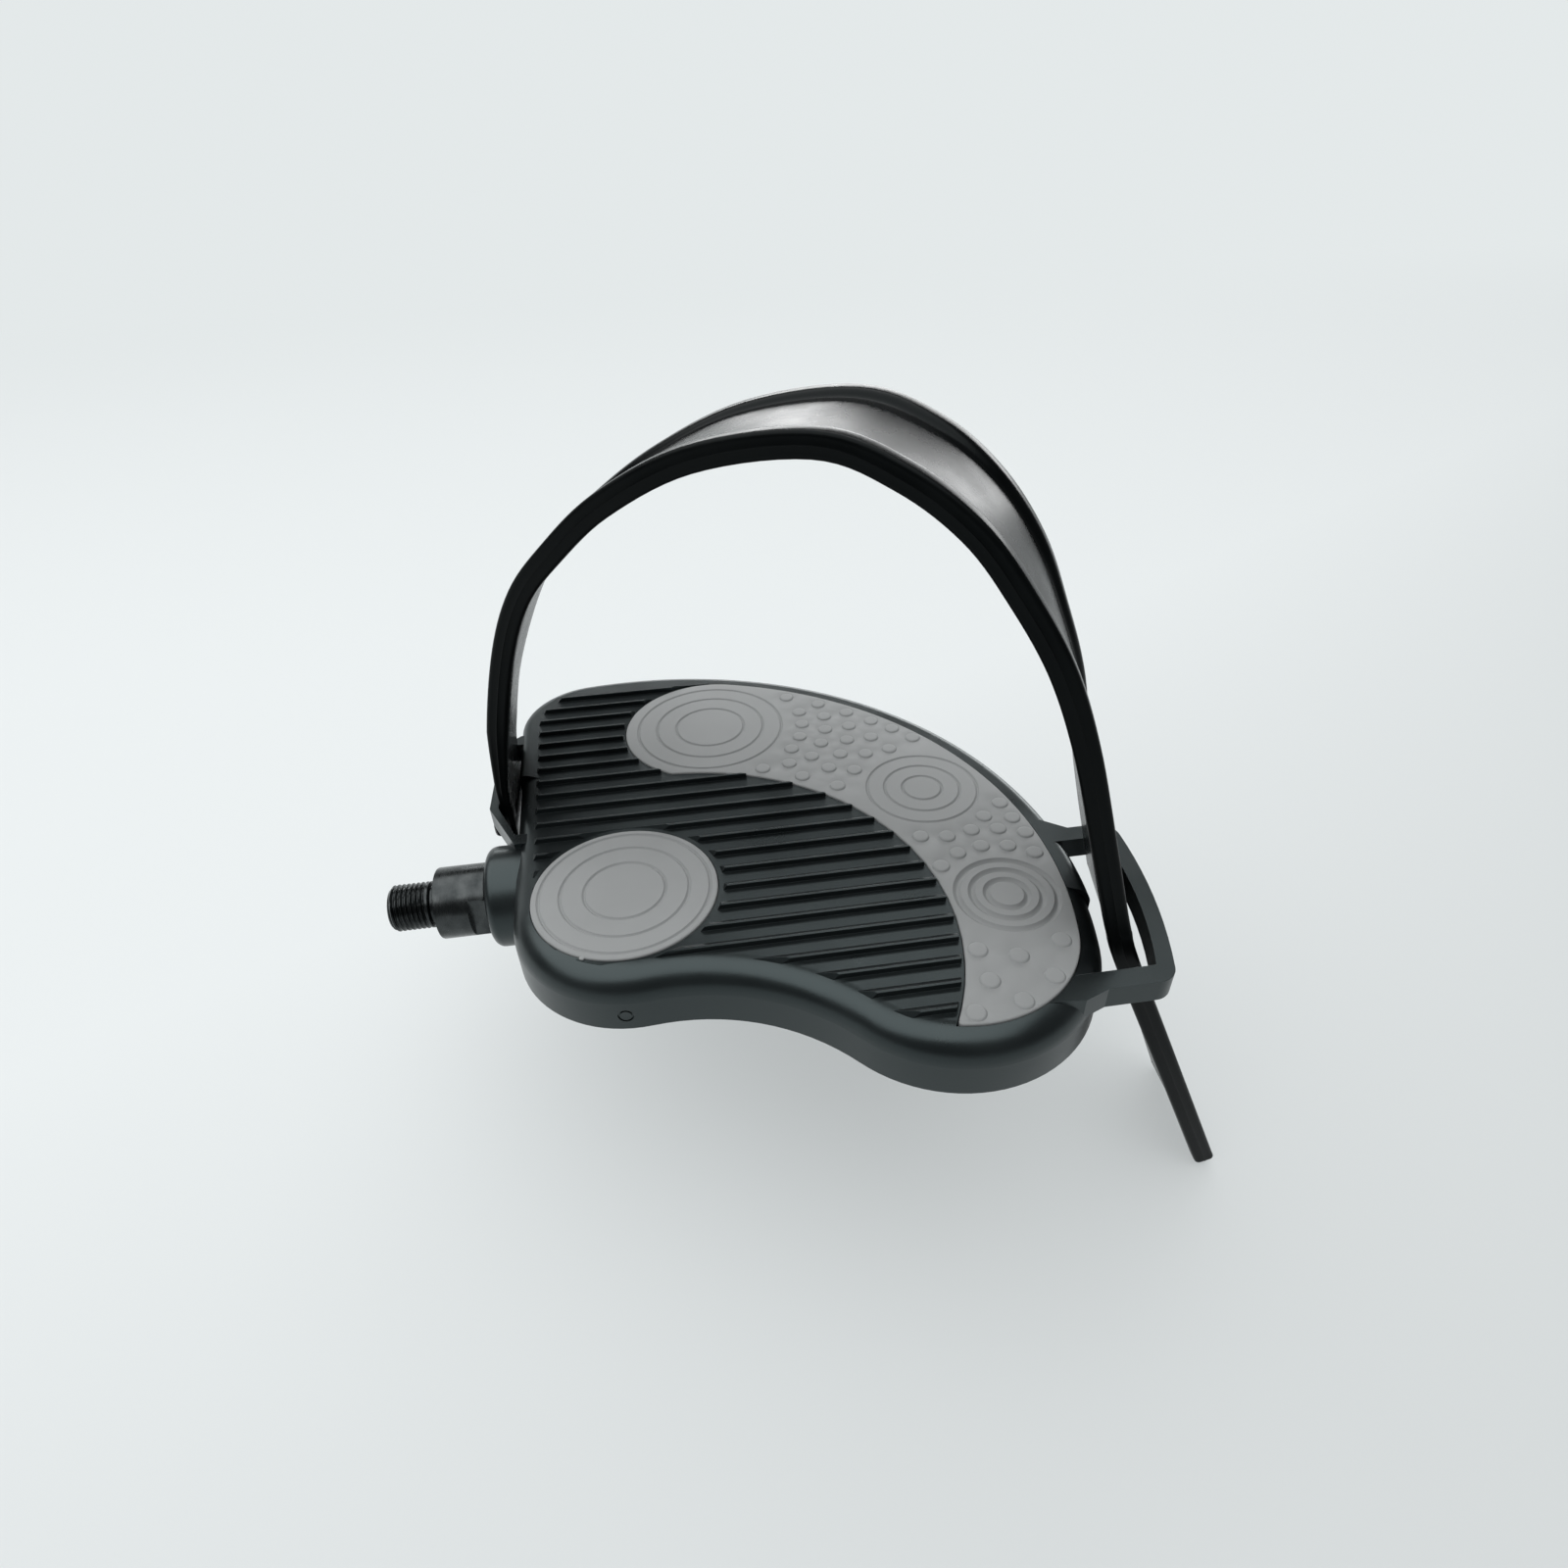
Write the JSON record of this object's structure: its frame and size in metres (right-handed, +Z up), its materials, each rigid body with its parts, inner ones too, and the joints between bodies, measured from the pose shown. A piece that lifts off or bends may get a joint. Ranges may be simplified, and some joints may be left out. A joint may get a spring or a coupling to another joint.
{
  "type": "strap pedal",
  "caption": "Bean-shaped exercise-bike pedal with a ribbed tread, soft grey inserts and an arched foot strap, free-turning on a threaded spindle.",
  "frame": {"origin": "on the spindle's axis, at the shoulder that seats on the crank", "axes": "+X along the spindle, away from the crank; +Y towards the rider's toe; +Z up out of the tread"},
  "size_m": [0.223, 0.1667, 0.2038],
  "materials": {
    "platform": "fine-grained satin black moulding",
    "insert": "matte grey soft moulding",
    "strap": "smooth black moulding with a soft sheen",
    "spindle": "black oxide, turned",
    "seal": "matte black",
    "race": "hardened and ground",
    "balls": "polished",
    "cap": "satin black moulding"
  },
  "bodies": {
    "axle": {"spindle": "spindle", "adjusting_cone": "race", "tab_washer": "race", "lock_nut": "race"},
    "pedal": {"platform": "platform", "crescent_pad": "insert", "round_pad": "insert", "strap": "strap", "dust_seal": "seal", "inner_cup": "race", "inner_balls": "balls", "outer_cup": "race", "outer_balls": "balls", "dust_cap": "cap"}
  },
  "joints": [
    {"name": "pedal_spin", "type": "hinge", "parent": "axle", "child": "pedal", "pos_m": [0, 0, 0], "axis": [1, 0, 0], "continuous": true}
  ]
}
